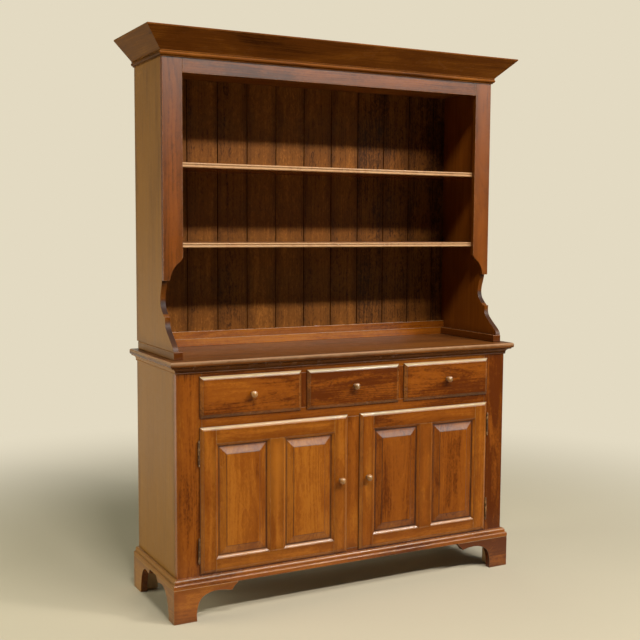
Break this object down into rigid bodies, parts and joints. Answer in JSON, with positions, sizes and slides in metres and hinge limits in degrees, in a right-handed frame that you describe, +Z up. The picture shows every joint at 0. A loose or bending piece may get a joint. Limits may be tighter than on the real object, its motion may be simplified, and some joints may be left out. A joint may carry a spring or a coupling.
{
  "type": "buffet with open hutch",
  "caption": "Wooden buffet: a cupboard base with lipped drawers and raised panel doors, and an open hutch with shelves, scrolled sides and a mitred crown.",
  "frame": {"origin": "On the floor, under the middle of the bounding box of the whole piece", "axes": "+X to the viewer's right, +Y to the back, so the doors and drawers face -Y, and +Z up"},
  "size_m": [1.5514, 0.4686, 2.0593],
  "materials": {
    "cherry_front": "warm orange brown cherry, satin gloss lacquer, darker clouds in the grain",
    "cherry_side": "olive brown cherry panel, satin gloss lacquer, upright grain",
    "cherry_counter": "brown cherry counter, satin gloss lacquer, grain along its length",
    "back_boarding": "dark stained boarding with a mottled figure, low sheen",
    "inner_wood": "bare secondary wood, matt",
    "hinge_bronze": "dark antique bronze, worn lighter on its edges"
  },
  "bodies": {
    "root": {"base_side_left": "cherry_side", "base_side_right": "cherry_side", "base_bottom": "inner_wood", "base_shelf": "inner_wood", "base_back": "inner_wood", "drawer_deck": "inner_wood", "frame_stile_left": "cherry_front", "frame_stile_right": "cherry_front", "frame_top_rail": "cherry_front", "frame_middle_rail": "cherry_front", "frame_bottom_rail": "cherry_front", "frame_centre_stile": "cherry_front", "drawer_muntin_left": "cherry_front", "drawer_muntin_right": "cherry_front", "base_top": "cherry_counter", "top_cove": "cherry_front", "base_moulding": "cherry_front", "foot_front_left": "cherry_front", "foot_front_right": "cherry_front", "foot_back_left": "cherry_front", "foot_back_right": "cherry_front", "hinge_left_upper_frame_leaf": "hinge_bronze", "hinge_left_lower_frame_leaf": "hinge_bronze", "hinge_right_upper_frame_leaf": "hinge_bronze", "hinge_right_lower_frame_leaf": "hinge_bronze", "hutch_side_left": "cherry_side", "hutch_side_right": "cherry_side", "hutch_shoe_left": "cherry_side", "hutch_shoe_right": "cherry_side", "hutch_stile_left": "cherry_front", "hutch_stile_right": "cherry_front", "hutch_top_rail": "cherry_front", "hutch_top_board": "back_boarding", "hutch_shelf_lower": "cherry_front", "hutch_shelf_upper": "cherry_front", "hutch_back": "back_boarding", "hutch_bottom_rail": "cherry_front", "crown": "cherry_front", "crown_bead": "cherry_front"},
    "door_left": {"door_left_frame": "cherry_front", "door_left_panel_outer": "cherry_front", "door_left_panel_inner": "cherry_front", "door_left_knob": "cherry_front", "hinge_left_upper_door_leaf": "hinge_bronze", "hinge_left_lower_door_leaf": "hinge_bronze"},
    "door_right": {"door_right_frame": "cherry_front", "door_right_panel_outer": "cherry_front", "door_right_panel_inner": "cherry_front", "door_right_knob": "cherry_front", "hinge_right_upper_door_leaf": "hinge_bronze", "hinge_right_lower_door_leaf": "hinge_bronze"},
    "drawer_left": {"drawer_left_front": "cherry_front", "drawer_left_box": "inner_wood", "drawer_left_knob": "cherry_front"},
    "drawer_middle": {"drawer_middle_front": "cherry_front", "drawer_middle_box": "inner_wood", "drawer_middle_knob": "cherry_front"},
    "drawer_right": {"drawer_right_front": "cherry_front", "drawer_right_box": "inner_wood", "drawer_right_knob": "cherry_front"}
  },
  "joints": [
    {"name": "door_left_hinge", "type": "hinge", "parent": "root", "child": "door_left", "pos_m": [-0.61985, -0.2013, 0.4224], "axis": [0, 0, -1], "range_deg": [0, 165]},
    {"name": "door_right_hinge", "type": "hinge", "parent": "root", "child": "door_right", "pos_m": [0.61985, -0.2013, 0.4224], "axis": [0, 0, 1], "range_deg": [0, 165]},
    {"name": "drawer_left_slide", "type": "slide", "parent": "root", "child": "drawer_left", "axis": [0, -1, 0], "range_m": [0, 0.3]},
    {"name": "drawer_middle_slide", "type": "slide", "parent": "root", "child": "drawer_middle", "axis": [0, -1, 0], "range_m": [0, 0.3]},
    {"name": "drawer_right_slide", "type": "slide", "parent": "root", "child": "drawer_right", "axis": [0, -1, 0], "range_m": [0, 0.3]}
  ]
}
